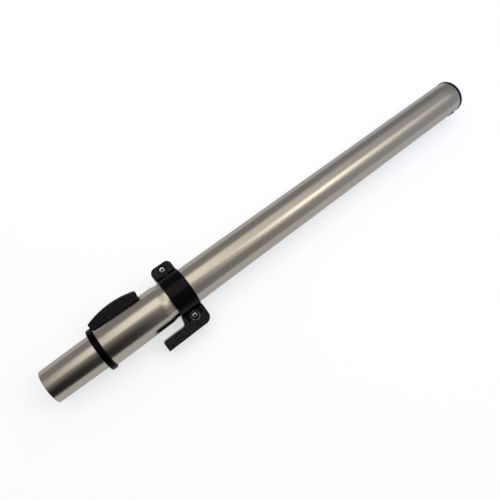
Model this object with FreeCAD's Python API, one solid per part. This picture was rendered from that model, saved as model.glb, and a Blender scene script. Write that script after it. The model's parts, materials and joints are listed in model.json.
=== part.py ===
import FreeCAD, Part
import math
import os

# Telescopic vacuum wand, collapsed and lying on a floor, in millimetres
# X runs along the tubes towards the handle end, with the origin at the mouth of the handle socket
# While a piece is made, Y points to the button side and Z to the front of the clamp
# The finished pieces are rolled about X until the hook and the clamp band both touch the floor

# Inner tube with its tapered tool end and the flat track that the shoe clamps
inner_tube_d = 32.0
inner_wall = 0.8
taper_step = 0.8
taper_len = 44.0
projection = 46.0
track_depth = 2.0
track_ramp = 2.0

# Outer tube with its widened mouth
outer_tube_len = 442.5
outer_wall = 0.8
tube_gap = 0.7
mouth_len = 58.2
swage_len = 4.8
swage_round = 21.0

# Guide bush with the collar ring, and the seal behind it
sleeve_wall = 1.59
collar_proud = 1.7
collar_w = 5.5
collar_round = 1.2
collar_lead = 0.6
seal_len = 3.5

# Glide ring on the hidden end of the inner tube
glide_len = 16.0
glide_lip = 1.0
glide_peg_d = 4.0

# End bush with the handle socket
socket_wall = 1.05
socket_len = 41.0
end_flange_proud = 0.2
end_flange_w = 3.0
end_flange_round = 0.6
snap_boss_d = 8.0
snap_boss_inset = 11.0
snap_boss_proud = 0.5
snap_boss_round = 0.25

# Slide button, seen from the side as an arch and from above as a wedge
button_len = 47.3
button_front = 0.9
button_rise = 9.4
button_arch_r = 72.0
button_crown_shift = 1.2
button_narrow_w = 15.2
button_wide_w = 21.4
button_lean = 1.5
button_corner = 2.0
button_inner_corner = 0.5
button_edge_round = 1.3
button_wall = 1.6
button_skirt_gap = 0.2
button_travel = 5.0

# T rail that the button runs on
rail_len = 16.2
rail_foot_w = 6.8
rail_flange_w = 10.4
rail_lip_h = 0.8
rail_flange_t = 1.0
post_len = 2.0
post_w = 5.0
post_h = 3.0
post_back = 5.0
nub_d = 1.4
nub_len = 2.5
rivet_d = 2.4
rivet_head_d = 4.4
rivet_head_h = 1.0
rivet_inset = 2.6

# Clamping shoe, its lining, its pin and the return spring
shoe_len = 9.0
shoe_w = 7.0
shoe_head = 1.7
shoe_round = 0.85
shoe_lift = 1.0
lining_t = 1.2
pin_d = 2.5
pin_height = 2.1
pin_chamfer = 0.3
cheek_t = 1.8
cheek_margin = 2.2
spring_rib_t = 1.5
spring_rib_w = 8.0
spring_d = 3.0
spring_wire_d = 0.6
spring_turns = 5

# Clamp and parking hook
clamp_w = 20.6
band_wall = 3.25
band_round = 0.8
ear_t = 5.0
ear_inset = 0.05
split_gap = 0.5
upper_ear_rise = 9.4
upper_ear_corner = 5.0
ear_edge_round = 0.6
hook_drop = 15.6
hook_arm_w = 9.8
hook_arm_len = 25.1
hook_rear_t = 13.0
hook_core_wall = 2.2
hook_core_corner = 1.0
hook_inner_corner = 3.0
hook_tip_corner = 2.5
hook_heel_corner = 7.0
ear_root_slant = 2.0
heel_overhang = 0.7
pocket_depth = 1.7
pocket_left_rim = 1.8
pocket_right_rim = 2.6
pocket_corner = 2.0
rear_edge_round = 1.0

# Clamp screws and nuts
screw_d = 3.0
screw_head_d = 4.9
screw_head_h = 1.8
screw_head_round = 0.7
screw_inset = 10.4
upper_screw_rise = 4.3
lower_screw_drop = 3.5
upper_bore_d = 7.2
lower_bore_d = 7.6
boss_wall = 1.1
boss_drop = 0.55
upper_head_sink = 0.5
lower_head_sink = 2.4
nut_flats = 5.5
nut_t = 2.4
nut_pocket_depth = 2.7
recess_w = 1.1
recess_len = 3.3
recess_depth = 1.2

# Clearances
running = 0.06
seat = 0.05
fixed_play = 0.025
key_play = 0.2
side_play = 0.15
window_play = 0.3
shoe_gap = 0.05
free_gap = 0.3
cheek_gap = 0.6
end_play = 2.0
seal_gap = 2.4
clamp_gap = 2.3
rail_end_gap = 1.0
rib_to_shoe = 4.0
pin_end_gap = 0.2

# Radii from the inner tube outwards
inner_r = inner_tube_d / 2
inner_bore_r = inner_r - inner_wall
tip_r = inner_r - taper_step
track_y = inner_r - track_depth
guide_r = inner_r + running
sleeve_r = guide_r + sleeve_wall
mouth_bore_r = sleeve_r + seat
mouth_r = mouth_bore_r + outer_wall
collar_r = mouth_r + collar_proud
outer_bore_r = inner_r + tube_gap
outer_r = outer_bore_r + outer_wall
glide_r = outer_bore_r - running
socket_sleeve_r = outer_bore_r - seat
socket_r = socket_sleeve_r - socket_wall
end_flange_r = outer_r + end_flange_proud
clamp_bore_r = outer_r + seat
band_r = clamp_bore_r + band_wall
ear_root = clamp_bore_r / 2

# Stations along X worked out from the lengths
tube_end_x = -end_flange_w
mouth_x = tube_end_x - outer_tube_len
swage_x = mouth_x + mouth_len
swage_end_x = swage_x + swage_len
collar_x = mouth_x - collar_w
tip_x = collar_x - projection
taper_end_x = tip_x + taper_len
seal_end_x = swage_x - seal_gap
seal_x = seal_end_x - seal_len
bush_end_x = seal_x - seat
socket_end_x = tube_end_x - socket_len
inner_end_x = socket_end_x - glide_lip - end_play
glide_x = inner_end_x - glide_len
peg_x = (glide_x + inner_end_x) / 2
track_x = collar_x + track_ramp
track_end_x = glide_x - end_play
snap_boss_x = -snap_boss_inset
clamp_x = swage_end_x + clamp_gap
clamp_end_x = clamp_x + clamp_w
ear_x = clamp_x + ear_inset
ear_end_x = clamp_end_x - ear_inset
hook_tip_x = clamp_x - hook_arm_len
heel_x = ear_end_x + heel_overhang
screw_x = clamp_x + screw_inset
button_x = mouth_x - button_front
button_end_x = button_x + button_len
button_mid_x = button_x + button_len / 2
button_crown_x = button_mid_x + button_crown_shift
rail_end_x = button_end_x - button_wall - button_lean - rail_end_gap
rail_x = rail_end_x - rail_len
post_x = rail_end_x - post_back - post_len
shoe_end_x = rail_x - rib_to_shoe
shoe_x = shoe_end_x - shoe_len
pin_x = (shoe_x + shoe_end_x) / 2

# Heights above the axis on the button side, and reaches of the clamp
button_base_r = mouth_r + free_gap
button_skirt_y = inner_r + button_skirt_gap
button_top_r = mouth_r + button_rise
rail_flange_y = mouth_r + rail_lip_h
rail_top_y = rail_flange_y + rail_flange_t
pin_y = mouth_r + pin_height
shoe_top_y = pin_y + shoe_head
lining_y = track_y + shoe_gap
shoe_y = lining_y + lining_t
spring_y = rail_top_y + free_gap + spring_d / 2
cheek_z = shoe_w / 2 + cheek_gap
pin_len = 2 * (cheek_z + cheek_t - pin_end_gap)
upper_ear_reach = band_r + upper_ear_rise
hook_reach = band_r + hook_drop
hook_arm_y = hook_arm_w - hook_reach
upper_screw_y = band_r + upper_screw_rise
lower_screw_y = -band_r - lower_screw_drop

# Roll that lays the hook's rounded rear edge and the clamp band on one floor
edge_y = hook_reach - rear_edge_round
edge_z = hook_rear_t - rear_edge_round
floor_angle = math.acos((band_r - rear_edge_round) / math.hypot(edge_y, edge_z)) + math.atan2(edge_z, edge_y)
rest_roll = 90.0 - math.degrees(floor_angle)

# Distance that reaches past every piece, and the width of a match between two lengths
FAR = 2 * hook_reach
MATCH = 1e-6

ORIGIN = FreeCAD.Vector(0, 0, 0)
ALONG = FreeCAD.Vector(1, 0, 0)
UPWARD = FreeCAD.Vector(0, 1, 0)
FRONT = FreeCAD.Vector(0, 0, 1)


def turned(corners):
    """Solid of revolution about the tube axis from (x, radius) corners."""
    points = [FreeCAD.Vector(x, r, 0) for x, r in corners]
    face = Part.Face(Part.makePolygon(points + points[:1]))
    return face.revolve(ORIGIN, ALONG, 360)


def ring(x0, x1, bore_r, rim_r):
    """Plain ring about the tube axis."""
    return turned([(x0, bore_r), (x0, rim_r), (x1, rim_r), (x1, bore_r)])


def bar(x0, x1, y, r):
    """Round bar along X at a height on the button side."""
    return Part.makeCylinder(r, x1 - x0, FreeCAD.Vector(x0, y, 0), ALONG)


def stud(x, y0, y1, r):
    """Round bar along Y."""
    return Part.makeCylinder(r, y1 - y0, FreeCAD.Vector(x, y0, 0), UPWARD)


def cross_bar(x, y, z0, z1, r):
    """Round bar along Z."""
    return Part.makeCylinder(r, z1 - z0, FreeCAD.Vector(x, y, z0), FRONT)


def block(x0, x1, y0, y1, z0, z1):
    """Box between two corners."""
    return Part.makeBox(x1 - x0, y1 - y0, z1 - z0, FreeCAD.Vector(x0, y0, z0))


def outline(corners):
    """Closed wire through (x, y, corner radius) points, with an arc at each rounded corner."""
    edges = []
    ends = []
    count = len(corners)
    for i in range(count):
        before = FreeCAD.Vector(*corners[i - 1][:2], 0)
        here = FreeCAD.Vector(*corners[i][:2], 0)
        after = FreeCAD.Vector(*corners[(i + 1) % count][:2], 0)
        radius = corners[i][2]
        back = (before - here).normalize()
        on = (after - here).normalize()
        half = back.getAngle(on) / 2
        cut = radius / math.tan(half)
        first = here + back * cut
        last = here + on * cut
        if radius > 0:
            middle = here + (back + on).normalize() * (radius / math.sin(half) - radius)
            edges.append(Part.Arc(first, middle, last).toShape())
        ends.append((first, last))
    for i in range(count):
        edges.append(Part.makeLine(ends[i - 1][1], ends[i][0]))
    return Part.Wire(Part.__sortEdges__(edges))


def slab(corners, z0, z1):
    """Plate with a rounded XY outline between two Z planes."""
    face = Part.Face(outline(corners))
    face.translate(FreeCAD.Vector(0, 0, z0))
    return face.extrude(FreeCAD.Vector(0, 0, z1 - z0))


def column(corners, y0, y1):
    """Prism with a rounded XZ outline between two heights on the button side."""
    solid = slab(corners, -y1, -y0)
    solid.rotate(ORIGIN, ALONG, 90)
    return solid


def soften(solid, radius, chosen):
    """Round the edges that the given test picks."""
    return solid.makeFillet(radius, [edge for edge in solid.Edges if chosen(edge)])


def lies_at_z(z):
    """Test for edges that lie in one Z plane."""
    return lambda edge: abs(edge.BoundBox.ZMin - z) + abs(edge.BoundBox.ZMax - z) < MATCH


def rim_edge(x, r):
    """Test for the round edge at one station and radius."""
    def chosen(edge):
        box = edge.BoundBox
        return abs(box.XMin - x) + abs(box.XMax - x) < MATCH and abs(box.YMax - r) < MATCH
    return chosen


def either(*tests):
    """Join several edge tests."""
    return lambda edge: any(test(edge) for test in tests)


def rivet_stations():
    """Places of the two rail rivets along X."""
    return (rail_x + rivet_inset, rail_end_x - rivet_inset)


def track(grow):
    """Prism that presses the flat track, moved inwards for the inside of the wall."""
    floor = track_y - grow
    top = inner_r + track_ramp
    run = (top - floor) * track_ramp / track_depth
    x0 = track_x + track_ramp - grow
    x1 = track_end_x - track_ramp + grow
    corners = [(x0 - run, top, 0), (x0, floor, 0), (x1, floor, 0), (x1 + run, top, 0)]
    return slab(corners, -inner_r, inner_r)


def track_key(x0, x1):
    """Flat inside a ring that runs on the track and keeps the tubes from turning."""
    body = block(x0, x1, track_y + key_play, guide_r + running, -inner_r, inner_r)
    return body.common(bar(x0, x1, 0, guide_r + running))


def shoe_window(play):
    """Cut for the clamping shoe through the sleeve and the tube."""
    half = shoe_w / 2 + play
    return block(shoe_x - play, shoe_end_x + play, 0, mouth_r + free_gap, -half, half)


def outer_tube():
    """Steel tube with a widened mouth and a swaged shoulder."""
    tube = turned([
        (mouth_x, mouth_bore_r), (mouth_x, mouth_r), (swage_x, mouth_r), (swage_end_x, outer_r),
        (tube_end_x, outer_r), (tube_end_x, outer_bore_r), (swage_end_x, outer_bore_r),
        (swage_x, mouth_bore_r),
    ])
    tube = soften(tube, swage_round, either(
        rim_edge(swage_x, mouth_r), rim_edge(swage_end_x, outer_r),
        rim_edge(swage_x, mouth_bore_r), rim_edge(swage_end_x, outer_bore_r),
    ))
    tube = tube.cut(shoe_window(window_play))
    for x in rivet_stations():
        tube = tube.cut(stud(x, 0, mouth_r + free_gap, rivet_d / 2 + seat))
    return tube.cut(stud(snap_boss_x, -FAR, 0, snap_boss_d / 2 + side_play))


def inner_tube():
    """Steel tube with a tapered tool end and a long flat track on the button side."""

    def filled(inset):
        profile = [(tip_x, 0), (tip_x, tip_r - inset), (taper_end_x, inner_r - inset)]
        profile += [(inner_end_x, inner_r - inset), (inner_end_x, 0)]
        return turned(profile).cut(track(inset))

    tube = filled(0).cut(filled(inner_wall))
    return tube.cut(cross_bar(peg_x, 0, -FAR, FAR, glide_peg_d / 2 + seat))


def rear_glide_ring():
    """Plastic glide ring clipped round the hidden end of the inner tube."""
    lip_x = inner_end_x + seat
    end_x = lip_x + glide_lip
    body = turned([
        (glide_x, inner_r + seat), (glide_x, glide_r), (end_x, glide_r), (end_x, inner_bore_r),
        (lip_x, inner_bore_r), (lip_x, inner_r + seat),
    ])
    pegs = cross_bar(peg_x, 0, -glide_r, glide_r, glide_peg_d / 2)
    pegs = pegs.common(ring(glide_x, inner_end_x, inner_bore_r, glide_r))
    return body.fuse(pegs).removeSplitter()


def guide_bush():
    """Plastic bush: collar ring outside the mouth, guide sleeve with its key inside."""
    collar_end_x = mouth_x - seat
    body = turned([
        (collar_x, guide_r + collar_lead), (collar_x, collar_r), (collar_end_x, collar_r),
        (collar_end_x, sleeve_r), (bush_end_x, sleeve_r), (bush_end_x, guide_r),
        (collar_x + collar_lead, guide_r),
    ])
    body = soften(body, collar_round, either(
        rim_edge(collar_x, collar_r), rim_edge(collar_end_x, collar_r),
    ))
    body = body.fuse(track_key(mouth_x, bush_end_x))
    body = body.cut(shoe_window(side_play))
    for x in rivet_stations():
        body = body.cut(stud(x, guide_r + seat, mouth_r, rivet_d / 2 + seat))
    return body.removeSplitter()


def air_seal():
    """Sealing ring between the bush and the shoulder of the outer tube."""
    body = ring(seal_x, seal_end_x, guide_r, sleeve_r)
    return body.fuse(track_key(seal_x, seal_end_x)).removeSplitter()


def end_bush():
    """Plastic bush of the handle socket, with the end ring and the snap boss."""
    flange_x = tube_end_x + seat
    body = turned([
        (socket_end_x, socket_r), (socket_end_x, socket_sleeve_r), (flange_x, socket_sleeve_r),
        (flange_x, end_flange_r), (0, end_flange_r), (0, socket_r),
    ])
    body = soften(body, end_flange_round, rim_edge(0, end_flange_r))
    boss_face = -outer_r - snap_boss_proud
    boss = stud(snap_boss_x, boss_face, 0, snap_boss_d / 2)
    boss = soften(boss, snap_boss_round, lambda edge: edge.BoundBox.YMax < boss_face + MATCH)
    return body.fuse(boss.cut(bar(socket_end_x, 0, 0, socket_r))).removeSplitter()


def arch_sag(run, arch_r):
    """Drop of the button's arch at a distance from its crown."""
    return arch_r - math.sqrt(arch_r ** 2 - run ** 2)


def button_form(inset, base_r):
    """Outer form of the button down to a base radius, or the same form inset by a wall."""
    top_r = button_top_r - inset
    arch_r = button_arch_r - inset
    crown = FreeCAD.Vector(button_crown_x, top_r, 0)
    left, right = [
        FreeCAD.Vector(x, top_r - arch_sag(x - button_crown_x, arch_r), 0)
        for x in (button_x + inset, button_end_x - inset)
    ]
    foot_left = FreeCAD.Vector(left.x + button_lean, base_r, 0)
    foot_right = FreeCAD.Vector(right.x - button_lean, base_r, 0)
    edges = [
        Part.Arc(left, crown, right).toShape(),
        Part.makeLine(right, foot_right),
        Part.makeLine(foot_right, foot_left),
        Part.makeLine(foot_left, left),
    ]
    barrel = Part.Face(Part.Wire(edges)).revolve(ORIGIN, ALONG, 360)
    narrow = button_narrow_w / 2 - inset
    wide = button_wide_w / 2 - inset
    corner = max(button_corner - inset, button_inner_corner)
    wedge = [
        (left.x, -narrow, corner), (right.x, -wide, corner),
        (right.x, wide, corner), (left.x, narrow, corner),
    ]
    return barrel.common(column(wedge, 0, FAR))


def crown_edge(edge):
    """Test for the edges round the top of the button."""
    lowest = button_top_r - arch_sag(button_x - button_crown_x, button_arch_r) - button_edge_round
    span = edge.LastParameter - edge.FirstParameter
    points = [edge.valueAt(edge.FirstParameter + span * share) for share in (0, 0.5, 1)]
    return all(math.hypot(p.y, p.z) > lowest for p in points)


def cam_slot():
    """Inclined slot that lifts the pin while the button slides."""
    r = pin_d / 2 + running
    rise = shoe_lift / button_travel
    along = FreeCAD.Vector(-1, rise, 0).normalize()
    across = FreeCAD.Vector(rise, 1, 0).normalize() * r
    start = FreeCAD.Vector(pin_x, pin_y, 0) - along * side_play
    stop = FreeCAD.Vector(pin_x - button_travel, pin_y + shoe_lift, 0) + along * side_play
    corners = [start - across, start + across, stop + across, stop - across]
    body = slab([(p.x, p.y, 0) for p in corners], -pin_len, pin_len)
    for end in (start, stop):
        body = body.fuse(cross_bar(end.x, end.y, -pin_len, pin_len, r))
    return body


def slide_button():
    """Hollow arched button with two cam cheeks, a spring rib, rail lips and a flat-footed skirt."""
    shell = soften(button_form(0, button_base_r), button_edge_round, crown_edge)
    body = shell.cut(button_form(button_wall, mouth_r))
    inside = []
    cheek_y = mouth_r + cheek_gap
    cheek_x = pin_x - button_travel - cheek_margin
    cheek_end_x = pin_x + cheek_margin
    for side in (-1, 1):
        near, far = sorted((side * cheek_z, side * (cheek_z + cheek_t)))
        inside.append(block(cheek_x, cheek_end_x, cheek_y, FAR, near, far).cut(cam_slot()))
    rib_end_x = rail_x - free_gap
    rib_half = spring_rib_w / 2
    rib_y = rail_top_y + free_gap
    inside.append(block(rib_end_x - spring_rib_t, rib_end_x, rib_y, FAR, -rib_half, rib_half))
    lip_top = rail_flange_y - free_gap
    lip_x = rail_x + button_travel / 2
    lip_end_x = rail_end_x - button_travel / 2
    lip_near = rail_foot_w / 2 + free_gap
    for side in (-1, 1):
        near, far = sorted((side * lip_near, side * button_wide_w / 2))
        lip = block(lip_x, lip_end_x, 0, lip_top, near, far)
        inside.append(lip.cut(bar(lip_x, lip_end_x, 0, button_base_r)))
    limit = button_form(button_wall / 2, button_base_r)
    for piece in inside:
        body = body.fuse(piece.common(limit))
    half = button_wide_w / 2
    return body.cut(block(button_x, button_end_x, 0, button_skirt_y, -half, half)).removeSplitter()


def slide_rail():
    """T rail on the tube's mouth with the spring's post."""
    foot = block(rail_x, rail_end_x, 0, rail_top_y, -rail_foot_w / 2, rail_foot_w / 2)
    half = rail_flange_w / 2
    body = foot.fuse(block(rail_x, rail_end_x, rail_flange_y, rail_top_y, -half, half))
    post_top = rail_top_y + post_h
    body = body.fuse(block(post_x, post_x + post_len, rail_flange_y, post_top, -post_w / 2, post_w / 2))
    body = body.fuse(bar(post_x - nub_len, post_x + post_len, spring_y, nub_d / 2))
    body = body.cut(bar(rail_x, rail_end_x, 0, mouth_r + fixed_play))
    for x in rivet_stations():
        body = body.cut(rivet(x, fixed_play))
    return body.removeSplitter()


def rivet(x, play):
    """Flush rivet through the rail, the tube and the sleeve, or its hole when given play."""
    head_y = rail_top_y - rivet_head_h
    shank = stud(x, guide_r + 2 * seat, rail_top_y, rivet_d / 2 + play)
    head = Part.makeCone(
        rivet_d / 2 + play, rivet_head_d / 2 + play, rivet_head_h, FreeCAD.Vector(x, head_y, 0), UPWARD
    )
    return shank.fuse(head).removeSplitter()


def rail_rivets():
    """The two rivets as one group."""
    return Part.makeCompound([rivet(x, 0) for x in rivet_stations()])


def lock_shoe():
    """Clamping block that stands in the window and carries the pin."""
    half = shoe_w / 2
    body = block(shoe_x, shoe_end_x, shoe_y, shoe_top_y, -half, half)
    body = soften(body, shoe_round, lambda edge: edge.BoundBox.YMin > shoe_top_y - MATCH
                  and edge.BoundBox.XLength < MATCH)
    return body.cut(cross_bar(pin_x, pin_y, -half, half, pin_d / 2 + fixed_play))


def shoe_lining():
    """Friction lining under the shoe."""
    half = shoe_w / 2
    return block(shoe_x, shoe_end_x, lining_y, shoe_y, -half, half)


def cross_pin():
    """Steel pin of the shoe."""
    pin = cross_bar(pin_x, pin_y, -pin_len / 2, pin_len / 2, pin_d / 2)
    return pin.makeChamfer(pin_chamfer, [edge for edge in pin.Edges if edge.BoundBox.ZLength < MATCH])


def return_spring():
    """Compression spring between the button's rib and the post."""
    wire_r = spring_wire_d / 2
    coil_r = spring_d / 2 - wire_r
    x0 = rail_x - free_gap + wire_r + seat
    length = post_x - wire_r - seat - x0
    helix = Part.makeHelix(length / spring_turns, length, coil_r)
    section = Part.Wire(Part.makeCircle(wire_r, FreeCAD.Vector(coil_r, 0, 0), UPWARD))
    spring = Part.Wire(helix).makePipeShell([section], True, True)
    spring.rotate(ORIGIN, UPWARD, 90)
    spring.translate(FreeCAD.Vector(x0, spring_y, 0))
    return spring


def half_band(side):
    """Half of the clamp band on one side of the split."""
    body = ring(clamp_x, clamp_end_x, clamp_bore_r, band_r)
    body = soften(body, band_round, either(rim_edge(clamp_x, band_r), rim_edge(clamp_end_x, band_r)))
    z0, z1 = sorted((side * split_gap / 2, side * FAR))
    return body.common(block(clamp_x, clamp_end_x, -FAR, FAR, z0, z1))


def plate(corners, side, depth, edge_round):
    """Plate on one side of the split, with its outer face softened."""
    z0, z1 = sorted((side * split_gap / 2, side * depth))
    return soften(slab(corners, z0, z1), edge_round, lies_at_z(side * depth))


def upper_ear_corners():
    """Outline of the upper ears."""
    return [
        (ear_x, ear_root, 0), (ear_end_x, ear_root, 0),
        (ear_end_x, upper_ear_reach, upper_ear_corner), (ear_x, upper_ear_reach, upper_ear_corner),
    ]


def lower_ear_corners():
    """Outline of the lower ears with the hook arm."""
    return [
        (ear_x, -ear_root, 0), (ear_end_x, -ear_root, 0), (ear_end_x, -outer_r, 0),
        (heel_x, -band_r, 0), (heel_x, -hook_reach, hook_heel_corner), (hook_tip_x, -hook_reach, 0),
        (hook_tip_x, hook_arm_y, hook_tip_corner),
        (clamp_x - ear_root_slant, hook_arm_y, hook_inner_corner), (ear_x, -outer_r, 0),
    ]


def arm_corners(wall, corner, heel_corner, tip_corner):
    """Outline of the hook arm alone, or of its hollow when given a wall."""
    low_y = -hook_reach + wall
    high_y = hook_arm_y - wall
    return [
        (heel_x - wall, high_y, corner), (heel_x - wall, low_y, heel_corner),
        (hook_tip_x + wall, low_y, corner), (hook_tip_x + wall, high_y, tip_corner),
    ]


def screw_place(lower):
    """Height of a screw's axis, depth of its head and radius of its counterbore."""
    if lower:
        return lower_screw_y, ear_t - lower_head_sink, lower_bore_d / 2
    return upper_screw_y, ear_t - upper_head_sink, upper_bore_d / 2


def clamp_front_half():
    """Front half of the clamp with its ears and its half of the parking hook."""
    body = half_band(1)
    body = body.fuse(plate(upper_ear_corners(), 1, ear_t, ear_edge_round))
    body = body.fuse(plate(lower_ear_corners(), 1, ear_t, ear_edge_round))
    body = body.cut(bar(clamp_x, clamp_end_x, 0, clamp_bore_r))
    pocket_x = clamp_x + pocket_left_rim
    pocket_end_x = clamp_end_x - pocket_right_rim
    pocket = slab([
        (pocket_x, hook_arm_y, pocket_corner), (pocket_end_x, hook_arm_y, pocket_corner),
        (pocket_end_x, -outer_r, 0), (pocket_x, -outer_r, 0),
    ], ear_t - pocket_depth, FAR)
    body = body.cut(pocket.cut(bar(clamp_x, clamp_end_x, 0, band_r)))
    boss_y, _, boss_bore_r = screw_place(True)
    boss_top = ear_t - boss_drop
    body = body.fuse(cross_bar(screw_x, boss_y, split_gap, boss_top, boss_bore_r + boss_wall))
    for lower in (False, True):
        y, head_z, bore_r = screw_place(lower)
        body = body.cut(cross_bar(screw_x, y, 0, FAR, screw_d / 2 + side_play))
        body = body.cut(cross_bar(screw_x, y, head_z - screw_head_h, FAR, bore_r))
    return body.removeSplitter()


def hexagon(x, y, z0, z1, flats):
    """Hexagonal prism along Z."""
    r = flats / math.sqrt(3)
    angles = [math.radians(60 * i) for i in range(6)]
    return slab([(x + r * math.cos(a), y + r * math.sin(a), 0) for a in angles], z0, z1)


def clamp_rear_half():
    """Rear half of the clamp, with the deep hollow hook arm and the pockets of the nuts."""
    arm = arm_corners(0, 0, hook_heel_corner, hook_tip_corner)
    core_heel = min(hook_heel_corner - hook_core_wall, hook_arm_w - 2 * (hook_core_wall + hook_core_corner))
    core = arm_corners(hook_core_wall, hook_core_corner, core_heel, hook_core_corner)
    body = half_band(-1)
    body = body.fuse(plate(upper_ear_corners(), -1, ear_t, rear_edge_round))
    body = body.fuse(plate(lower_ear_corners(), -1, ear_t, rear_edge_round))
    body = body.fuse(plate(arm, -1, hook_rear_t, rear_edge_round))
    body = body.cut(slab(core, hook_core_wall - hook_rear_t, 0))
    body = body.cut(bar(clamp_x, clamp_end_x, 0, clamp_bore_r))
    for lower in (False, True):
        y = screw_place(lower)[0]
        body = body.cut(cross_bar(screw_x, y, -FAR, 0, screw_d / 2 + side_play))
        pocket = hexagon(screw_x, y, -FAR, -ear_t + nut_pocket_depth, nut_flats + 2 * side_play)
        body = body.cut(pocket)
    return body.removeSplitter()


def clamp_screw(lower):
    """Round-headed screw with a cross recess, from its counterbore to the nut."""
    y, head_z, _ = screw_place(lower)
    head_r = screw_head_d / 2
    seat_z = head_z - screw_head_h + seat
    head = cross_bar(screw_x, y, seat_z, head_z, head_r)
    head = soften(head, screw_head_round, lies_at_z(head_z))
    body = head.fuse(cross_bar(screw_x, y, -ear_t + seat, seat_z, screw_d / 2))
    half = recess_w / 2
    reach = recess_len / 2
    for across, along in ((half, reach), (reach, half)):
        slot = block(screw_x - across, screw_x + across, y - along, y + along, head_z - recess_depth, FAR)
        body = body.cut(slot)
    return body.removeSplitter()


def clamp_nut(lower):
    """Hexagon nut in the pocket of the rear half."""
    y = screw_place(lower)[0]
    top = -ear_t + nut_pocket_depth - seat
    nut = hexagon(screw_x, y, top - nut_t, top, nut_flats)
    return nut.cut(cross_bar(screw_x, y, -FAR, FAR, screw_d / 2 + seat))


pieces = {
    "outer_tube": outer_tube(),
    "end_bush": end_bush(),
    "guide_bush": guide_bush(),
    "air_seal": air_seal(),
    "inner_tube": inner_tube(),
    "rear_glide_ring": rear_glide_ring(),
    "slide_button": slide_button(),
    "slide_rail": slide_rail(),
    "rail_rivets": rail_rivets(),
    "lock_shoe": lock_shoe(),
    "shoe_lining": shoe_lining(),
    "cross_pin": cross_pin(),
    "return_spring": return_spring(),
    "clamp_front_half": clamp_front_half(),
    "clamp_rear_half": clamp_rear_half(),
    "upper_clamp_screw": clamp_screw(False),
    "lower_clamp_screw": clamp_screw(True),
    "upper_clamp_nut": clamp_nut(False),
    "lower_clamp_nut": clamp_nut(True),
}

os.makedirs("parts", exist_ok=True)
for name, shape in pieces.items():
    shape.rotate(ORIGIN, ALONG, rest_roll)
    shape.exportStep("parts/" + name + ".step")
    print(name, len(shape.Solids), "solid, valid", shape.isValid(), "volume", round(shape.Volume, 2))
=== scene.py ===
"""Telescopic vacuum wand: finishes, turned tubes, a coiled spring and the studio round them."""
import json
import logging
import math
from dataclasses import dataclass, field
from enum import Enum

import bpy
from mathutils import Matrix, Vector


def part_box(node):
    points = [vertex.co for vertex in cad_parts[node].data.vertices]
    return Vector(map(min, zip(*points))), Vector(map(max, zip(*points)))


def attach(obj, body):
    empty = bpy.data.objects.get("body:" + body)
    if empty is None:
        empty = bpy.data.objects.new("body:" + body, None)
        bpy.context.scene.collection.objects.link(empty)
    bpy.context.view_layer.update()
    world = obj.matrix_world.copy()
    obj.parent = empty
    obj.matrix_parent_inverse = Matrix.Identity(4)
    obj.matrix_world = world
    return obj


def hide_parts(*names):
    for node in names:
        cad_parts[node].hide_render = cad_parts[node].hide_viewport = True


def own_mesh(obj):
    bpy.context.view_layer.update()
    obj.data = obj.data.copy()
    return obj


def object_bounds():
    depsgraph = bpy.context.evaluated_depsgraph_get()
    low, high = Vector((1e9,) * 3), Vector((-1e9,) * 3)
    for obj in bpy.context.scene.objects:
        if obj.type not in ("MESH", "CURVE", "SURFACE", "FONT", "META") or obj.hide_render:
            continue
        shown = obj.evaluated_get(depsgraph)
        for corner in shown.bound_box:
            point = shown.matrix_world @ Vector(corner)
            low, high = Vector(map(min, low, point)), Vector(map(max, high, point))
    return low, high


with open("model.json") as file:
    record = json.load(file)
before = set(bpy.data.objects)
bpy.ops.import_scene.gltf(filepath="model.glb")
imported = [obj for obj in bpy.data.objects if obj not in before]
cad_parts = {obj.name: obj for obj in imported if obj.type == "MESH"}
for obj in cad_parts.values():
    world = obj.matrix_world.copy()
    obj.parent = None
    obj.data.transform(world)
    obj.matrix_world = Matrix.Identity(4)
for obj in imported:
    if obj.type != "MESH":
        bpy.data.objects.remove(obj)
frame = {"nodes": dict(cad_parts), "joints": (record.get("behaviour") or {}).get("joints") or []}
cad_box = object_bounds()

log = logging.getLogger("wand")

Colour = tuple[float, float, float]
Point = tuple[float, float, float]
Scale = tuple[float, float, float]
Span = tuple[float, float]
Section = list[tuple[float, float]]
MM = 0.001
WELD = 1e-7
CORNER_STEPS = 4
WHITE: Colour = (1.0, 1.0, 1.0)


class Body(Enum):
    """Bodies that the modelled pieces move with."""

    OUTER = "outer"
    INNER = "inner"


class Slot(Enum):
    """Material slots of the record."""

    STEEL = "steel"
    COLLAR = "collar_plastic"
    BUTTON = "button_plastic"
    CLAMP = "clamp_plastic"
    SEAL = "seal_rubber"
    GLIDE = "glide_plastic"
    ZINC = "zinc_steel"


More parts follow.
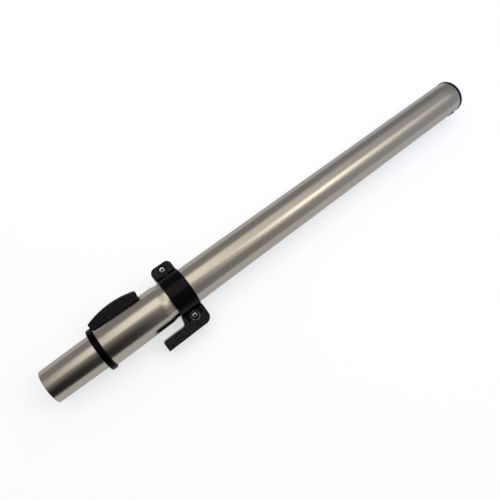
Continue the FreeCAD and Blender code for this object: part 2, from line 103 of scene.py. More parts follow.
class Graph:
    """Adds and links the nodes of one shader tree."""

    def __init__(self, tree: bpy.types.NodeTree) -> None:
        """Empty the tree and keep it."""
        tree.nodes.clear()
        self.tree = tree

    def add(self, kind: str, inputs: dict | None = None, **settings: object) -> bpy.types.Node:
        """Add one node.

        Args:
            kind: Type name of the node.
            inputs: Values or output sockets for its inputs, by name or index.
            settings: Properties of the node.

        Returns:
            The new node.
        """
        node = self.tree.nodes.new(kind)
        for name, value in settings.items():
            setattr(node, name, value)
        for name, value in (inputs or {}).items():
            self.feed(node.inputs[name], value)
        return node

    def feed(self, socket: bpy.types.NodeSocket, value: object) -> None:
        """Link an output to a socket, or set the socket's own value.

        Args:
            socket: Input to feed.
            value: Output socket, number, colour or vector.
        """
        if isinstance(value, bpy.types.NodeSocket):
            self.tree.links.new(value, socket)
        else:
            socket.default_value = value

    def sum(self, operation: str, first: object, second: object = 0.0) -> bpy.types.NodeSocket:
        """Work out one step of arithmetic.

        Args:
            operation: Name of the Math operation.
            first: First number or socket.
            second: Second number or socket.

        Returns:
            The result's socket.
        """
        return self.add("ShaderNodeMath", {0: first, 1: second}, operation=operation).outputs[0]

    def ease(self, value: object, start: float, stop: float, low: float = 0.0,
             high: float = 1.0) -> bpy.types.NodeSocket:
        """Carry a value smoothly from one range to another.

        Args:
            value: Number or socket to carry over.
            start: Value that gives low.
            stop: Value that gives high.
            low: Result at start and before it.
            high: Result at stop and past it.

        Returns:
            The result's socket.
        """
        node = self.add("ShaderNodeMapRange", {0: value, 1: start, 2: stop, 3: low, 4: high},
                        interpolation_type="SMOOTHSTEP")
        return node.outputs[0]

    def noise(self, scale: Scale, detail: float = 3.0) -> bpy.types.NodeSocket:
        """Noise on the piece's own coordinates.

        Args:
            scale: Grains for each metre along X, Y and Z.
            detail: Octaves of the noise.

        Returns:
            The noise value's socket, from 0 to 1.
        """
        place = self.add("ShaderNodeTexCoord")
        spread = self.add("ShaderNodeMapping", {"Vector": place.outputs["Object"], "Scale": scale})
        grain = self.add("ShaderNodeTexNoise",
                         {"Vector": spread.outputs[0], "Scale": 1.0, "Detail": detail})
        return grain.outputs[0]

    def tint(self, share: object, first: object, second: Colour) -> bpy.types.NodeSocket:
        """Mix two colours.

        Args:
            share: Share of the second colour.
            first: First colour, or its socket.
            second: Second colour.

        Returns:
            The mixed colour's socket.
        """
        base = first if isinstance(first, bpy.types.NodeSocket) else (*first, 1.0)
        mix = self.add("ShaderNodeMix", {0: share, 6: base, 7: (*second, 1.0)}, data_type="RGBA")
        return mix.outputs[2]


def new_material(name: str) -> tuple[bpy.types.Material, Graph]:
    """Make an empty node material.

    Args:
        name: Name of the material.

    Returns:
        The material and its graph.
    """
    material = bpy.data.materials.new(name)
    material.use_nodes = True
    return material, Graph(material.node_tree)


def clamp_roll() -> float:
    """Angle in radians that the clamp's side direction is rolled about the tube axis."""
    lift = next(joint for joint in frame["joints"] if joint["name"] == "shoe_lift")
    return math.atan2(lift["axis"][2], lift["axis"][1])


def from_screw(graph: Graph, node: str) -> list[bpy.types.NodeSocket]:
    """Distances from a clamp screw's axis.

    Args:
        graph: Graph of the material.
        node: CAD node of the screw.

    Returns:
        The sockets of the distances along the tube and across it.
    """
    low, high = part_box(node)
    middle, roll = (low + high) / 2, clamp_roll()
    place = graph.add("ShaderNodeTexCoord").outputs["Object"]
    runs = []
    for axis in ((1.0, 0.0, 0.0), (0.0, math.cos(roll), math.sin(roll))):
        along = graph.add("ShaderNodeVectorMath", {0: place, 1: axis}, operation="DOT_PRODUCT")
        offset = graph.sum("SUBTRACT", along.outputs["Value"], middle.dot(Vector(axis)))
        runs.append(graph.sum("ABSOLUTE", offset))
    return runs


@dataclass(frozen=True)
class SatinSteel:
    """Ground stainless steel whose fine lines run round the tube."""

    name: str = "satin_steel"
    shade: Colour = (0.334, 0.311, 0.270)
    light: Colour = (0.364, 0.340, 0.297)
    edge: Colour = (0.75, 0.75, 0.75)
    roughness: float = 0.24
    spread: float = 0.05
    anisotropy: float = 0.35
    lines: Scale = (5200.0, 45.0, 45.0)
    clouds: Scale = (22.0, 40.0, 40.0)
    wear: Span = (0.7, 1.3)
    line_depth: float = 0.004 * MM
    quarter_turn: float = 0.25

    def material(self) -> bpy.types.Material:
        """Build the steel.

        Returns:
            The new material.
        """
        material, graph = new_material(self.name)
        lines = graph.noise(self.lines)
        clouds = graph.noise(self.clouds)
        rough = graph.ease(graph.sum("ADD", lines, clouds), *self.wear,
                           self.roughness - self.spread / 2, self.roughness + self.spread / 2)
        bump = graph.add("ShaderNodeBump",
                         {"Strength": 1.0, "Distance": self.line_depth, "Height": lines})
        round_tube = graph.add("ShaderNodeTangent", direction_type="RADIAL", axis="X")
        shader = graph.add("ShaderNodeBsdfPrincipled", {
            "Base Color": graph.tint(clouds, self.shade, self.light),
            "Metallic": 1.0,
            "Roughness": rough,
            "Specular Tint": (*self.edge, 1.0),
            "Anisotropic": self.anisotropy,
            "Anisotropic Rotation": self.quarter_turn,
            "Normal": bump.outputs[0],
            "Tangent": round_tube.outputs[0],
        })
        graph.add("ShaderNodeOutputMaterial", {"Surface": shader.outputs[0]})
        return material


@dataclass(frozen=True)
class MouldedPlastic:
    """Moulded plastic with a fine sparked grain."""

    name: str
    dark: Colour
    light: Colour
    roughness: float = 0.45
    shine: float = 0.2
    grain: float = 1400.0
    grain_depth: float = 0.03 * MM
    gleam: Colour = (0.80, 0.86, 1.0)
    clouds: float = 60.0
    cloud_span: Span = (0.3, 0.7)
    cloud_wear: Span = (-0.03, 0.03)
    speckle_span: Span = (0.36, 0.64)

    def material(self) -> bpy.types.Material:
        """Build the plastic.

        Returns:
            The new material.
        """
        material, graph = new_material(self.name)
        grain = graph.noise((self.grain,) * 3)
        clouds = graph.noise((self.clouds,) * 3)
        grained = self.grained(graph)
        wear = graph.ease(clouds, *self.cloud_span, *self.cloud_wear)
        rough = graph.sum("ADD", self.gloss(graph, grained), wear)
        height = graph.sum("MULTIPLY", grain, grained)
        bump = graph.add("ShaderNodeBump",
                         {"Strength": 1.0, "Distance": self.grain_depth, "Height": height})
        speckle = graph.sum("MULTIPLY", graph.ease(grain, *self.speckle_span), grained)
        shader = graph.add("ShaderNodeBsdfPrincipled", {
            "Base Color": self.colour(graph, speckle),
            "Roughness": rough,
            "Specular IOR Level": self.shine,
            "Specular Tint": (*self.gleam, 1.0),
            "Normal": bump.outputs[0],
        })
        graph.add("ShaderNodeOutputMaterial", {"Surface": shader.outputs[0]})
        return material

    def grained(self, graph: Graph) -> object:
        """Share of grain, all over on a plain piece.

        Args:
            graph: Graph of the material.

        Returns:
            A number, or the socket of the share.
        """
        return 1.0

    def colour(self, graph: Graph, speckle: object) -> bpy.types.NodeSocket:
        """Colour, from dark to light by the grain.

        Args:
            graph: Graph of the material.
            speckle: Share of the light colour.

        Returns:
            The socket of the colour.
        """
        return graph.tint(speckle, self.dark, self.light)

    def gloss(self, graph: Graph, grained: object) -> object:
        """Roughness, the same all over on a plain piece.

        Args:
            graph: Graph of the material.
            grained: Share of grain.

        Returns:
            A number, or the socket of the roughness.
        """
        return self.roughness


@dataclass(frozen=True)
class ClampPlastic(MouldedPlastic):
    """Black plastic, polished on the band, grained on flat faces, with a painted speckled highlight
    on the rim round the sunk screw.
    """

    polished_roughness: float = 0.14
    rim_node: str = "lower_clamp_screw"
    rim_radius: float = 3.9 * MM
    rim_half_width: float = 0.4 * MM
    rim_highlight: Colour = (0.38, 0.39, 0.40)
    scuff_grain: float = 1100.0
    highlight_detail: float = 2.0
    highlight_span: Span = (0.42, 0.56)
    band_radius: float = 20.85 * MM
    face_height: float = 4.3 * MM
    blur: float = 0.4 * MM

    def grained(self, graph: Graph) -> object:
        """Share of grain, which fades in past the band and up to the faces of the ears.

        Args:
            graph: Graph of the material.

        Returns:
            The socket of the share.
        """
        place = graph.add("ShaderNodeTexCoord").outputs["Object"]
        roll = clamp_roll()
        across = graph.add("ShaderNodeVectorMath", {0: place, 1: (0.0, 1.0, 1.0)},
                           operation="MULTIPLY")
        radius = graph.add("ShaderNodeVectorMath", {0: across.outputs[0]}, operation="LENGTH")
        front = graph.add("ShaderNodeVectorMath",
                          {0: place, 1: (0.0, -math.sin(roll), math.cos(roll))},
                          operation="DOT_PRODUCT")
        depth = graph.sum("ABSOLUTE", front.outputs["Value"])
        past_band = graph.ease(radius.outputs["Value"], self.band_radius,
                               self.band_radius + self.blur)
        on_face = graph.ease(depth, self.face_height, self.face_height + self.blur)
        return graph.sum("MULTIPLY", past_band, on_face)

    def colour(self, graph: Graph, speckle: object) -> bpy.types.NodeSocket:
        """Colour with a painted speckled highlight on the rim of the sunk screw.

        Args:
            graph: Graph of the material.
            speckle: Share of the light colour.

        Returns:
            The socket of the colour.
        """
        squares = [graph.sum("MULTIPLY", run, run) for run in from_screw(graph, self.rim_node)]
        radius = graph.sum("SQRT", graph.sum("ADD", *squares))
        off_rim = graph.sum("ABSOLUTE", graph.sum("SUBTRACT", radius, self.rim_radius))
        on_rim = graph.ease(off_rim, self.rim_half_width, self.rim_half_width / 2)
        highlight_speckles = graph.noise((self.scuff_grain,) * 3, self.highlight_detail)
        highlit = graph.ease(highlight_speckles, *self.highlight_span)
        plain = super().colour(graph, speckle)
        # Painted highlight: light speckles on the rim round the sunk lower screw stand in for light
        # caught by the rim's edge.
        return graph.tint(graph.sum("MULTIPLY", on_rim, highlit), plain, self.rim_highlight)

    def gloss(self, graph: Graph, grained: object) -> object:
        """Roughness, lower where there is no grain.

        Args:
            graph: Graph of the material.
            grained: Share of grain.

        Returns:
            The socket of the roughness.
        """
        return graph.ease(grained, 0.0, 1.0, self.polished_roughness, self.roughness)


@dataclass(frozen=True)
class BrightZinc:
    """Zinc-plated steel of the small fasteners."""

    name: str = "bright_zinc"
    shade: Colour = (0.62, 0.62, 0.60)
    light: Colour = (0.74, 0.74, 0.73)
    roughness: float = 0.24
    spread: float = 0.12
    clouds: float = 900.0
    cloud_span: Span = (0.3, 0.7)

    def material(self) -> bpy.types.Material:
        """Build the plating.

        Returns:
            The new material.
        """
        material, graph = new_material(self.name)
        clouds = graph.noise((self.clouds,) * 3)
        rough = graph.ease(clouds, *self.cloud_span,
                           self.roughness - self.spread / 2, self.roughness + self.spread / 2)
        plating = graph.tint(clouds, self.shade, self.light)
        shader = graph.add("ShaderNodeBsdfPrincipled", {
            "Base Color": self.with_recess_shade(graph, plating),
            "Metallic": 1.0,
            "Roughness": rough,
        })
        graph.add("ShaderNodeOutputMaterial", {"Surface": shader.outputs[0]})
        return material

    def with_recess_shade(self, graph: Graph, plating: bpy.types.NodeSocket) -> bpy.types.NodeSocket:
        """Colour of the plating, with no painted shade on a plain piece.

        Args:
            graph: Graph of the material.
            plating: Socket of the clean colour.

        Returns:
            The socket of the colour.
        """
        return plating


@dataclass(frozen=True)
class CrossHeadZinc(BrightZinc):
    """Zinc-plated screw with a dark cross of painted shade where its cross recess lies."""

    node: str = ""
    painted_recess_shade: Colour = (0.012, 0.012, 0.012)
    half_width: float = 0.55 * MM
    half_length: float = 1.65 * MM
    blur: float = 0.06 * MM

    def with_recess_shade(self, graph: Graph, plating: bpy.types.NodeSocket) -> bpy.types.NodeSocket:
        """Colour of the plating with the dark cross of painted recess shade.

        Args:
            graph: Graph of the material.
            plating: Socket of the clean colour.

        Returns:
            The socket of the colour.
        """
        runs = from_screw(graph, self.node)
        bars = []
        for narrow, wide in (runs, reversed(runs)):
            across = graph.ease(narrow, self.half_width + self.blur, self.half_width)
            length = graph.ease(wide, self.half_length + self.blur, self.half_length)
            bars.append(graph.sum("MULTIPLY", across, length))
        # Painted shade: the dark cross on the head stands in for the shade inside the cross recess.
        return graph.tint(graph.sum("MAXIMUM", *bars), plating, self.painted_recess_shade)


class Finish(Enum):
    """Finishes of the wand's pieces."""

    STEEL = SatinSteel()
    COLLAR = MouldedPlastic("collar_black", (0.0005, 0.0005, 0.0005), (0.0012, 0.0012, 0.0012),
                            roughness=0.3, shine=0.035)
    BUTTON = MouldedPlastic("button_black", (0.0008, 0.0008, 0.0011), (0.0155, 0.0150, 0.0170),
                            roughness=0.5, shine=0.09, grain=1000.0)
    CLAMP = ClampPlastic("clamp_black", (0.0006, 0.0006, 0.0008), (0.0280, 0.0280, 0.0285),
                         roughness=0.5, shine=0.085, grain=850.0)
    SEAL = MouldedPlastic("seal_black", (0.014, 0.014, 0.014), (0.030, 0.030, 0.030),
                          roughness=0.75, shine=0.3)
    GLIDE = MouldedPlastic("glide_grey", (0.50, 0.50, 0.48), (0.58, 0.58, 0.56),
                           roughness=0.5, shine=0.4, grain=2000.0, grain_depth=0.01 * MM, gleam=WHITE)
    ZINC = BrightZinc()
    UPPER_SCREW = CrossHeadZinc("upper_screw_zinc", (0.50, 0.56, 0.62), (0.62, 0.69, 0.76),
                                roughness=0.42, node="upper_clamp_screw")
    # Painted shade: the lower screw gets darker plating and a wider dark cross than the identical
    # upper screw, because its head sits deep in the clamp.
    LOWER_SCREW = CrossHeadZinc("lower_screw_zinc", (0.42, 0.44, 0.47), (0.54, 0.56, 0.60),
                                roughness=0.36, node="lower_clamp_screw", half_width=0.72 * MM)

    @property
    def slot(self) -> Slot:
        """Material slot of the record that the finish belongs to."""
        return Slot.ZINC if self.name.endswith("SCREW") else Slot[self.name]


@dataclass
class Wardrobe:
    """Makes each finish once and puts it on nodes and pieces."""

    made: dict[Finish, bpy.types.Material] = field(default_factory=dict)

    def material(self, finish: Finish) -> bpy.types.Material:
        """Material of a finish, built when it is first asked for.

        Args:
            finish: Finish to look up.

        Returns:
            The finish's material.
        """
        if finish not in self.made:
            self.made[finish] = finish.value.material()
        return self.made[finish]

    def dress_nodes(self, finish: Finish, *names: str) -> None:
        """Give CAD nodes a finish.

        Args:
            finish: Finish to put on.
            names: Nodes to dress.
        """
        for name in names:
            frame["nodes"][name].material_slots[0].material = self.material(finish)
            log.info("node %s takes %s", name, finish.name)

    def dress_piece(self, piece: bpy.types.Object, finish: Finish, body: Body,
                    node: str) -> None:
        """Give a modelled piece its finish and its body, and hide the CAD node that it stands for.

        Args:
            piece: Piece in its place.
            finish: Finish to put on.
            body: Body that it moves with.
            node: CAD node that it replaces.
        """
        piece.data.materials.append(self.material(finish))
        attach(piece, body.value)
        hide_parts(node)
        log.info("piece %s stands for %s", piece.name, node)


def deselect_all() -> None:
    """Leave nothing selected."""
    bpy.ops.object.select_all(action="DESELECT")


def select_only(piece: bpy.types.Object) -> None:
    """Make a piece the active one and the only one selected.

    Args:
        piece: Piece to select.
    """
    deselect_all()
    piece.select_set(True)
    bpy.context.view_layer.objects.active = piece


def arc(x: float, radius: float, size: float, start: float, stop: float) -> Section:
    """Points of a rounded corner in a section.

    Args:
        x: Centre along X.
        radius: Centre's distance from the axis.
        size: Radius of the corner.
        start: First angle in degrees.
        stop: Last angle in degrees.

    Returns:
        The points as (place along X, radius).
    """
    turn = (stop - start) / CORNER_STEPS
    angles = [math.radians(start + turn * i) for i in range(CORNER_STEPS + 1)]
    return [(x + size * math.cos(angle), radius + size * math.sin(angle)) for angle in angles]


class Bench:
    """Models new pieces with edit-mode operators, in the frame before the clamp is rolled."""

    turned_sides = 180
    rod_sides = 48
    sharp_angle = math.radians(25.0)

    @staticmethod
    def lathe(name: str, section: Section) -> bpy.types.Object:
        """Draw a closed section as a chain of extruded points and spin it round X.

        Args:
            name: Name of the piece.
            section: Corners as (place along X, radius).

        Returns:
            The turned piece.
        """
        deselect_all()
        bpy.ops.mesh.primitive_plane_add(size=MM)
        piece = bpy.context.object
        piece.name = name
        bpy.ops.object.mode_set(mode="EDIT")
        bpy.ops.mesh.select_all(action="SELECT")
        bpy.ops.mesh.merge(type="CENTER")
        bpy.ops.transform.translate(value=(*section[0], 0.0))
        for (x0, r0), (x1, r1) in zip(section, section[1:] + section[:1]):
            step = (x1 - x0, r1 - r0, 0.0)
            bpy.ops.mesh.extrude_vertices_move(TRANSFORM_OT_translate={"value": step})
        bpy.ops.mesh.select_all(action="SELECT")
        bpy.ops.mesh.remove_doubles(threshold=WELD)
        bpy.ops.mesh.spin(steps=Bench.turned_sides, angle=math.tau, center=(0.0, 0.0, 0.0),
                          axis=(1.0, 0.0, 0.0))
        Bench.weld()
        return piece

    @staticmethod
    def weld() -> None:
        """Merge doubled points of the edited piece, turn its faces outwards and leave edit mode."""
        bpy.ops.mesh.select_all(action="SELECT")
        bpy.ops.mesh.remove_doubles(threshold=WELD)
        bpy.ops.mesh.normals_make_consistent(inside=False)
        bpy.ops.object.mode_set(mode="OBJECT")

    @staticmethod
    def block(low: Point, high: Point, growth: float = 1.0) -> bpy.types.Object:
        """Box whose high side along Y may be longer along X.

        Args:
            low: Lowest corner.
            high: Highest corner.
            growth: Growth of the high side along X.

        Returns:
            The box.
        """
        middle = (Vector(low) + Vector(high)) / 2
        deselect_all()
        bpy.ops.mesh.primitive_cube_add(size=1.0, location=middle, scale=Vector(high) - Vector(low))
        box = bpy.context.object
        bpy.ops.object.transform_apply(location=True, rotation=True, scale=True)
        bpy.ops.object.mode_set(mode="EDIT")
        bpy.ops.mesh.select_all(action="DESELECT")
        bpy.ops.object.mode_set(mode="OBJECT")
        for vertex in box.data.vertices:
            vertex.select = vertex.co.y > middle.y
        bpy.ops.object.mode_set(mode="EDIT")
        bpy.ops.transform.resize(value=(growth, 1.0, 1.0), center_override=middle)
        Bench.weld()
        return box

    @staticmethod
    def peg(start: Point, stop: Point, radius: float) -> bpy.types.Object:
        """Round rod between two points.

        Args:
            start: Centre of one end.
            stop: Centre of the other end.
            radius: Radius of the rod.

        Returns:
            The rod.
        """
        run = Vector(stop) - Vector(start)
        deselect_all()
        bpy.ops.mesh.primitive_cylinder_add(
            vertices=Bench.rod_sides, radius=radius, depth=run.length,
            location=(Vector(start) + Vector(stop)) / 2,
            rotation=run.to_track_quat("Z", "Y").to_euler())
        return bpy.context.object

    @staticmethod
    def cut(piece: bpy.types.Object, *cutters: bpy.types.Object) -> None:
        """Cut tools out of a piece and put them away.

        Args:
            piece: Piece to cut.
            cutters: Closed solids to take out of it.
        """
        for cutter in cutters:
            select_only(piece)
            bpy.ops.object.modifier_add(type="BOOLEAN")
            step = piece.modifiers[-1]
            step.operation = "DIFFERENCE"
            step.object = cutter
            bpy.ops.object.modifier_apply(modifier=step.name)
            bpy.data.objects.remove(cutter)

    @staticmethod
    def settle(piece: bpy.types.Object, place: Matrix) -> None:
        """Put a piece in its place with the clamp's roll, weld it and shade it smooth.

        Args:
            piece: Piece to settle.
            place: Place before the roll.
        """
        select_only(piece)
        piece.matrix_world = Matrix.Rotation(clamp_roll(), 4, "X") @ place
        bpy.ops.object.transform_apply(location=True, rotation=True, scale=True)
        bpy.ops.object.mode_set(mode="EDIT")
        Bench.weld()
        bpy.ops.object.shade_smooth_by_angle(angle=Bench.sharp_angle)
        log.info("piece %s has %d faces", piece.name, len(piece.data.polygons))


@dataclass
class TubePair:
    """Outer and inner steel tube with the glide ring on the hidden end."""

    wardrobe: Wardrobe
    wall: float = 0.8 * MM
    deburr: float = 0.2 * MM
    mouth_radius: float = 18.5 * MM
    mouth_length: float = 56.0 * MM
    shoulder_length: float = 9.2 * MM
    shoulder_steps: int = 12
    outer_radius: float = 17.5 * MM
    window_half_width: float = 3.8 * MM
    window_play: float = 0.3 * MM
    rivet_head_radius: float = 2.2 * MM
    rivet_hole_radius: float = 1.25 * MM
    boss_inset: float = 11.0 * MM
    boss_hole_radius: float = 4.15 * MM
    inner_radius: float = 16.0 * MM
    tip_radius: float = 15.2 * MM
    taper_length: float = 44.0 * MM
    track_height: float = 14.0 * MM
    track_start: float = -447.0 * MM
    track_stop: float = -67.0 * MM
    peg_place: float = -55.0 * MM
    peg_hole_radius: float = 2.05 * MM
    reach: float = 30.0 * MM

    def dress(self) -> None:
        """Turn the tubes and finish them."""
        for piece, node, body in ((self.outer_tube(), "outer_tube", Body.OUTER),
                                  (self.inner_tube(), "inner_tube", Body.INNER)):
            self.wardrobe.dress_piece(piece, Finish.STEEL, body, node)
        self.wardrobe.dress_nodes(Finish.GLIDE, "rear_glide_ring")

    def outer_tube(self) -> bpy.types.Object:
        """Turn the outer tube with its swaged shoulder and cut its holes.

        Returns:
            The tube.
        """
        low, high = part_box("outer_tube")
        boss = -self.boss_inset
        outside = self.shoulder(low.x + self.mouth_length)
        outside += [(boss - 2 * self.boss_hole_radius, self.outer_radius)]
        d, bore = self.deburr, self.outer_radius - self.wall
        section = arc(low.x + d, self.mouth_radius - d, d, 180, 90) + outside
        section += arc(high.x - d, self.outer_radius - d, d, 90, 0)
        section += arc(high.x - d, bore + d, d, 0, -90)
        section += [(x, radius - self.wall) for x, radius in reversed(outside)]
        section += arc(low.x + d, self.mouth_radius - self.wall + d, d, -90, -180)
        tube = Bench.lathe("turned_outer_tube", section)
        shoe_low, shoe_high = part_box("lock_shoe")
        half, play = self.window_half_width, self.window_play
        window = Bench.block((shoe_low.x - play, 0.0, -half),
                             (shoe_high.x + play, self.reach, half))
        rivet_low, rivet_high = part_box("rail_rivets")
        stations = (rivet_low.x + self.rivet_head_radius, rivet_high.x - self.rivet_head_radius)
        rivets = [Bench.peg((x, 0.0, 0.0), (x, self.reach, 0.0), self.rivet_hole_radius)
                  for x in stations]
        hole = Bench.peg((boss, 0.0, 0.0), (boss, -self.reach, 0.0), self.boss_hole_radius)
        Bench.cut(tube, window, *rivets, hole)
        Bench.settle(tube, Matrix())
        return tube

    def shoulder(self, start: float) -> Section:
        """Points of the swaged shoulder, from the mouth's radius down to the tube's.

        Args:
            start: Place along X where the shoulder begins.

        Returns:
            The points as (place along X, radius).
        """
        shares = [i / self.shoulder_steps for i in range(self.shoulder_steps + 1)]
        drop = self.mouth_radius - self.outer_radius
        return [(start + self.shoulder_length * share,
                 self.outer_radius + drop * (1 + math.cos(math.pi * share)) / 2) for share in shares]

    def inner_form(self, name: str, inset: float, flare: float) -> bpy.types.Object:
        """Turn a solid to the inner tube's outside or its bore and cut the flat track off.

        Args:
            name: Name of the solid.
            inset: How far it lies inside the tube's outside.
            flare: Length by which the solid's ends pass the tube's ends and open.

        Returns:
            The solid.
        """
        low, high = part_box("inner_tube")
        tip, full, d = self.tip_radius - inset, self.inner_radius - inset, self.deburr
        if flare:
            ends = ([(low.x - flare, tip + flare), (low.x + flare, tip)],
                    [(high.x - flare, full), (high.x + flare, full + flare)])
        else:
            ends = (arc(low.x + d, tip - d, d, 180, 90), arc(high.x - d, full - d, d, 90, 0))
        section = [(low.x - flare, 0.0), *ends[0], (low.x + self.taper_length, full), *ends[1],
                   (high.x + flare, 0.0)]
        form = Bench.lathe(name, section)
        floor, top = self.track_height - inset, self.reach
        start, stop = self.track_start - inset, self.track_stop + inset
        growth = 1 + 2 * (top - floor) / (stop - start)
        Bench.cut(form, Bench.block((start, floor, -self.reach), (stop, top, self.reach), growth))
        return form

    def inner_tube(self) -> bpy.types.Object:
        """Turn the inner tube with its tapered tip, its flat track and its peg holes.

        Returns:
            The tube.
        """
        tube = self.inner_form("turned_inner_tube", 0.0, 0.0)
        bore = self.inner_form("inner_bore", self.wall, self.deburr)
        pegs = Bench.peg((self.peg_place, 0.0, -self.reach), (self.peg_place, 0.0, self.reach),
                         self.peg_hole_radius)
        Bench.cut(tube, bore, pegs)
        Bench.settle(tube, Matrix())
        return tube


@dataclass
class LengthLock:
    """Collar, slide button and the clamping works under it."""

    wardrobe: Wardrobe
    wire_radius: float = 0.3 * MM
    wire_sides: int = 12
    coil_radius: float = 1.2 * MM
    spring_turns: int = 5
    steps_per_turn: int = 32
    button_travel: float = 5.0 * MM

    def dress(self) -> None:
        """Finish the lock's pieces and coil the spring, which the button presses together."""
        self.wardrobe.dress_nodes(Finish.COLLAR, "guide_bush")
        self.wardrobe.dress_nodes(Finish.BUTTON, "slide_button")
        self.wardrobe.dress_nodes(Finish.SEAL, "air_seal", "shoe_lining")
        self.wardrobe.dress_nodes(Finish.GLIDE, "slide_rail", "lock_shoe")
        self.wardrobe.dress_nodes(Finish.ZINC, "rail_rivets", "cross_pin")
        spring = self.return_spring()
        self.wardrobe.dress_piece(spring, Finish.ZINC, Body.OUTER, "return_spring")
        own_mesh(spring)

    def return_spring(self) -> bpy.types.Object:
        """Coil the wire of the spring between the button's rib and the rail's post.

        Returns:
            The spring.
        """
        low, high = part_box("return_spring")
        middle = (low + high) / 2
        deselect_all()
        bpy.ops.mesh.primitive_circle_add(vertices=self.wire_sides, radius=self.wire_radius,
                                          location=(0.0, self.coil_radius, 0.0))
        spring = bpy.context.object
        spring.name = "coiled_spring"
        bpy.ops.object.transform_apply(location=True, rotation=True, scale=True)
        bpy.ops.object.modifier_add(type="SCREW")
        coil = spring.modifiers[-1]
        coil.axis = "X"
        coil.iterations = self.spring_turns
        coil.screw_offset = (high.x - low.x - 2 * self.wire_radius) / self.spring_turns
        coil.steps = coil.render_steps = self.steps_per_turn
        bpy.ops.object.modifier_apply(modifier=coil.name)
        bpy.ops.object.mode_set(mode="EDIT")
        bpy.ops.mesh.select_all(action="SELECT")
        bpy.ops.mesh.fill_holes(sides=0)
        Bench.weld()
        height = math.hypot(middle.y, middle.z)
        Bench.settle(spring, Matrix.Translation((low.x + self.wire_radius, height, 0.0)))
        return spring


@dataclass
class HookClamp:
    """Two-part clamp with the parking hook, its screws and nuts."""

    wardrobe: Wardrobe

    def dress(self) -> None:
        """Finish the clamp's pieces."""
        self.wardrobe.dress_nodes(Finish.CLAMP, "clamp_front_half", "clamp_rear_half")
        self.wardrobe.dress_nodes(Finish.UPPER_SCREW, "upper_clamp_screw")
        self.wardrobe.dress_nodes(Finish.LOWER_SCREW, "lower_clamp_screw")
        self.wardrobe.dress_nodes(Finish.ZINC, "upper_clamp_nut", "lower_clamp_nut")


@dataclass
class HandleSocket:
    """Socket bush with the end ring and the snap boss."""

    wardrobe: Wardrobe

    def dress(self) -> None:
        """Finish the bush."""
        self.wardrobe.dress_nodes(Finish.COLLAR, "end_bush")


@dataclass(frozen=True)
class Softbox:
    """Rectangular studio lamp that hangs flat over the wand."""

    name: str
    place: Point
    size: tuple[float, float]
    radiance: float
    colour: Colour

    def build(self) -> None:
        """Hang the lamp."""
        bpy.ops.object.light_add(type="AREA", location=self.place)
        lamp = bpy.context.object
        lamp.name = self.name
        lamp.visible_camera = False
        lamp.data.shape = "RECTANGLE"
        lamp.data.size, lamp.data.size_y = self.size
        lamp.data.energy = self.radiance * math.pi * self.size[0] * self.size[1]
        lamp.data.color = self.colour
        log.info("lamp %s", self.name)


@dataclass(frozen=True)
class PhotoCamera:
    """Camera over the clamp, leaning towards the handle end and twisted in its frame."""

    station: float = -406.74 * MM
    side: float = -6.79 * MM
    front: float = 395.5 * MM
    lean: float = math.radians(16.08)
    twist: float = math.radians(36.36)
    focal_share: float = 438.24 / 500.0
    sensor_width: float = 36.0
    nearest: float = 10.0 * MM

    def build(self) -> None:
        """Set the camera up from its place beside the clamp."""
        bpy.ops.object.camera_add()
        camera = bpy.context.object
        camera.name = "photo_camera"
        camera.data.sensor_width = self.sensor_width
        camera.data.lens = self.sensor_width * self.focal_share
        camera.data.clip_start = self.nearest
        back = Vector((-math.sin(self.lean), 0.0, math.cos(self.lean)))
        along = Vector((math.cos(self.lean), 0.0, math.sin(self.lean)))
        side = Vector((0.0, 1.0, 0.0))
        right = along * math.cos(self.twist) - side * math.sin(self.twist)
        upward = back.cross(right)
        axes = Matrix((right, upward, back)).transposed().to_4x4()
        place = Matrix.Translation((self.station, self.side, self.front))
        camera.matrix_world = Matrix.Rotation(clamp_roll(), 4, "X") @ place @ axes
        bpy.context.scene.camera = camera


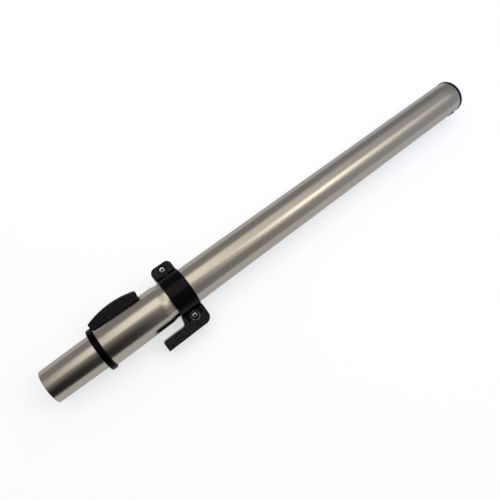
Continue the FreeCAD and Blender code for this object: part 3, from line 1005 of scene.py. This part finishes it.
@dataclass(frozen=True)
class Studio:
    """White floor, soft lamps and a grey room with a dark side at the tool end."""

    floor_radius: float = 5.0
    floor_sides: int = 128
    floor_shade: Colour = (0.47, 0.47, 0.48)
    floor_glow: float = 0.61
    near_glow: Colour = (1.0, 1.02, 1.045)
    far_glow: Colour = (0.96, 1.0, 1.09)
    glow_along: Span = (-0.22, 0.02)
    room: Colour = (0.47, 0.455, 0.45)
    far_room: Colour = (0.41, 0.435, 0.50)
    room_along: Span = (0.4, 0.75)
    dark_share: float = 0.06
    dark_heights: Span = (math.radians(100.0), math.radians(35.0))
    dark_along: Span = (0.22, -0.12)
    far_share: float = 1.5
    far_along: Span = (0.3, 0.58)
    lamps: tuple[Softbox, ...] = (
        Softbox("overhead_wide", (0.20, 0.51, 1.20), (2.3, 1.14), 0.38, (1.0, 0.97, 0.93)),
        Softbox("overhead_middle", (-0.30, 0.385, 1.19), (1.6, 0.89), 0.52, (1.0, 0.92, 0.82)),
        Softbox("overhead_hot", (-0.36, 0.38, 1.18), (0.64, 0.94), 0.86, (1.0, 0.92, 0.81)),
        Softbox("overhead_lip", (-0.12, -0.20, 1.19), (0.50, 0.32), 1.0, (1.0, 0.92, 0.81)),
        Softbox("key_halo", (0.65, -0.65, 1.32), (1.4, 1.10), 0.52, (1.0, 0.94, 0.84)),
        Softbox("key_tail", (0.80, -0.40, 1.31), (1.0, 0.60), 0.60, (1.0, 0.97, 0.93)),
        Softbox("key_strip", (0.48, -0.40, 1.30), (0.56, 0.56), 2.0, (1.0, 0.95, 0.87)),
    )

    def build(self) -> None:
        """Set up the floor, the room and the lamps."""
        self.build_floor()
        self.build_room()
        for lamp in self.lamps:
            lamp.build()
        bpy.context.scene.view_settings.view_transform = "Standard"

    def build_floor(self) -> None:
        """Lay the floor, which is white to the camera and in mirrors and keeps the wand's shadow."""
        bpy.ops.mesh.primitive_circle_add(vertices=self.floor_sides, radius=self.floor_radius,
                                          fill_type="NGON", location=(0.0, 0.0, cad_box[0].z))
        floor = bpy.context.object
        floor.name = "floor"
        material, graph = new_material("floor_white")
        path = graph.add("ShaderNodeLightPath")
        place = graph.add("ShaderNodeTexCoord").outputs["Object"]
        along = graph.add("ShaderNodeSeparateXYZ", {0: place}).outputs["X"]
        mirrored = graph.sum("MAXIMUM", path.outputs["Is Glossy Ray"],
                             path.outputs["Is Transmission Ray"])
        seen = graph.sum("MAXIMUM", path.outputs["Is Camera Ray"], mirrored)
        far = graph.ease(along, *self.glow_along)
        glow = graph.add("ShaderNodeEmission", {
            "Color": graph.tint(far, self.near_glow, self.far_glow),
            "Strength": graph.sum("MULTIPLY", seen, self.floor_glow),
        })
        matt = graph.add("ShaderNodeBsdfDiffuse", {"Color": (*self.floor_shade, 1.0)})
        both = graph.add("ShaderNodeAddShader", {0: matt.outputs[0], 1: glow.outputs[0]})
        graph.add("ShaderNodeOutputMaterial", {"Surface": both.outputs[0]})
        floor.data.materials.append(material)

    def build_room(self) -> None:
        """Fill the room with grey light that fades to a dark side at the tool end."""
        world = bpy.data.worlds.new("grey_room")
        world.use_nodes = True
        bpy.context.scene.world = world
        graph = Graph(world.node_tree)
        place = graph.add("ShaderNodeTexCoord")
        split = graph.add("ShaderNodeSeparateXYZ", {0: place.outputs["Generated"]})
        along, side, up = split.outputs
        height = graph.sum("ARCTAN2", graph.sum("MAXIMUM", up, 0.0),
                           graph.sum("MULTIPLY", side, -1.0))
        low = graph.ease(height, *self.dark_heights)
        dark = graph.sum("MULTIPLY", low, graph.ease(along, *self.dark_along))
        far = graph.sum("MULTIPLY", low, graph.ease(along, *self.far_along))
        strength = graph.sum("ADD", graph.ease(dark, 0.0, 1.0, 1.0, self.dark_share),
                             graph.sum("MULTIPLY", far, self.far_share - 1.0))
        colour = graph.tint(graph.ease(along, *self.room_along), self.room, self.far_room)
        backdrop = graph.add("ShaderNodeBackground", {"Color": colour, "Strength": strength})
        graph.add("ShaderNodeOutputWorld", {"Surface": backdrop.outputs[0]})


def main() -> None:
    """Build and dress the wand, then set up the studio."""
    logging.basicConfig(level=logging.INFO, format="%(name)s: %(message)s")
    deselect_all()
    wardrobe = Wardrobe()
    for assembly in (TubePair(wardrobe), LengthLock(wardrobe), HookClamp(wardrobe),
                     HandleSocket(wardrobe)):
        assembly.dress()
        log.info("%s is done", type(assembly).__name__)
    Studio().build()
    PhotoCamera().build()


if __name__ == "__main__":
    main()
